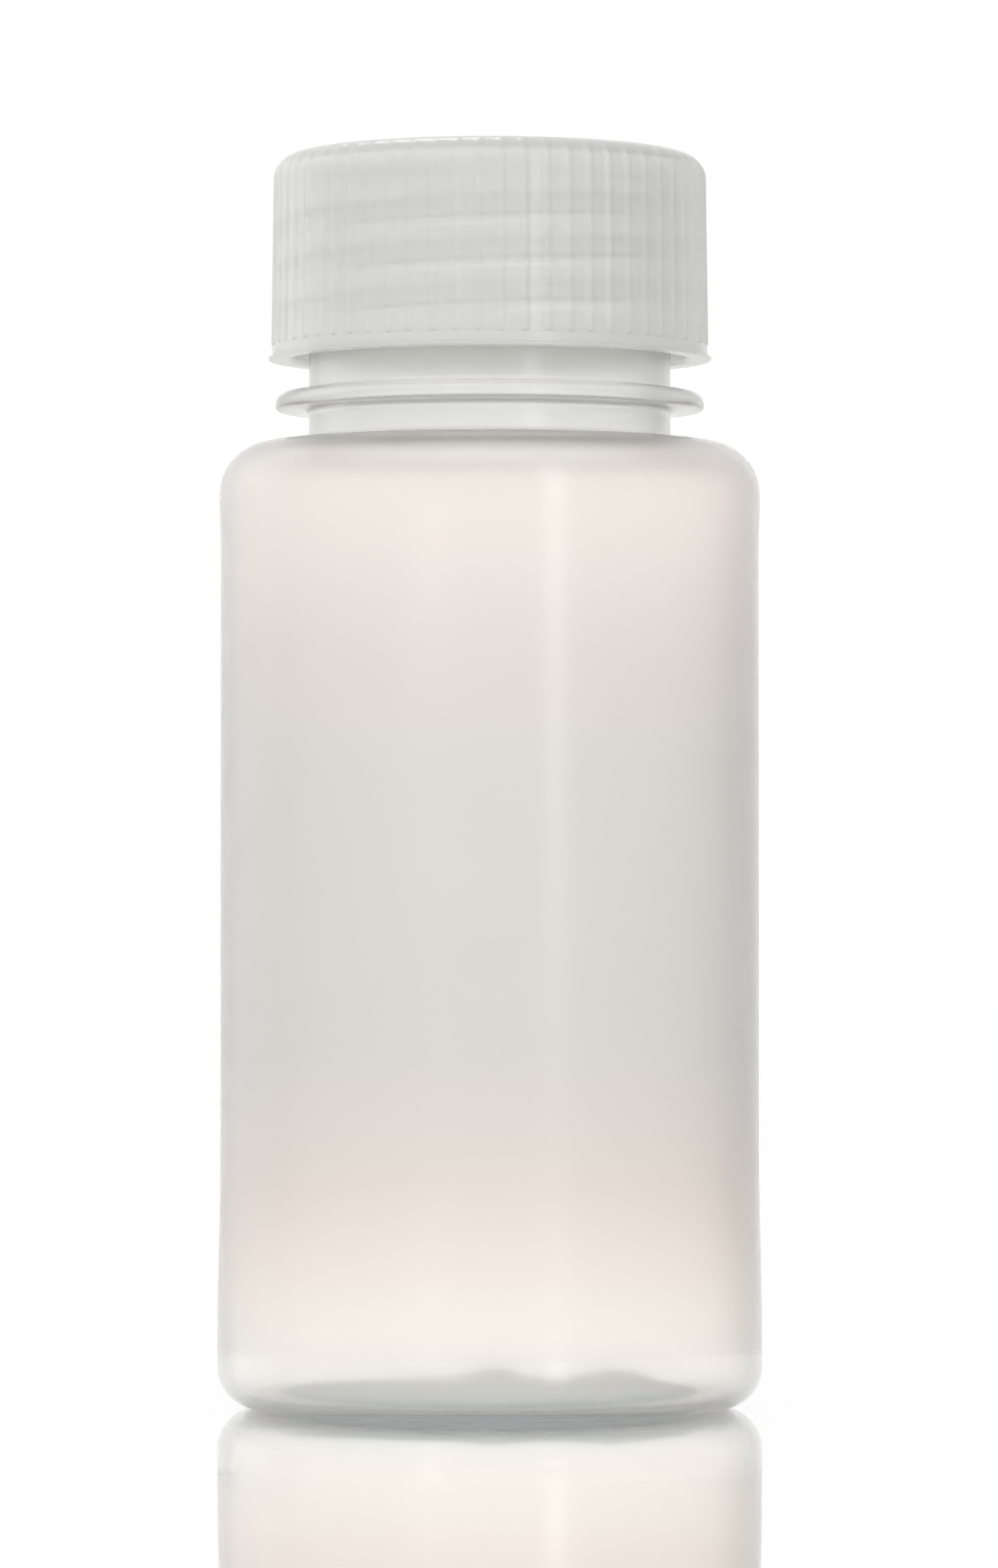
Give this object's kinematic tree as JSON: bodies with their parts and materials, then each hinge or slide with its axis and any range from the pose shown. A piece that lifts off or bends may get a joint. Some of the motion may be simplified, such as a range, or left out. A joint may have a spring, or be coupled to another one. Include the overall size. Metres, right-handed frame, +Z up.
{
  "type": "reagent bottle",
  "caption": "Round wide-mouth plastic reagent bottle with a ribbed screw cap, a sealing liner and a support ring on the neck.",
  "frame": {"origin": "centre of the circle that the bottle stands on, at the level of the standing ring", "axes": "+Z up along the bottle's axis, -Y towards the viewer of the picture, +X to the viewer's right"},
  "size_m": [0.074, 0.074, 0.1705],
  "materials": {
    "bottle_plastic": "natural translucent polypropylene, smooth moulded",
    "cap_plastic": "natural translucent polypropylene, smooth moulded",
    "liner_foam": "white foamed polyethylene, matt"
  },
  "bodies": {
    "bottle": {"bottle": "bottle_plastic"},
    "liner": {"cap_liner": "liner_foam"},
    "cap": {"screw_cap": "cap_plastic"}
  },
  "joints": [
    {"name": "cap_lift", "type": "slide", "parent": "bottle", "child": "liner", "axis": [0, 0, 1], "range_m": [0, 0.0349]},
    {"name": "cap_turn", "type": "hinge", "parent": "liner", "child": "cap", "pos_m": [0, 0, 0.1684], "axis": [0, 0, 1], "range_deg": [0, 2160]}
  ],
  "couplings": [
    {"joint": "cap_lift", "follows": "cap_turn", "m_per_rad": 0.0009231}
  ]
}
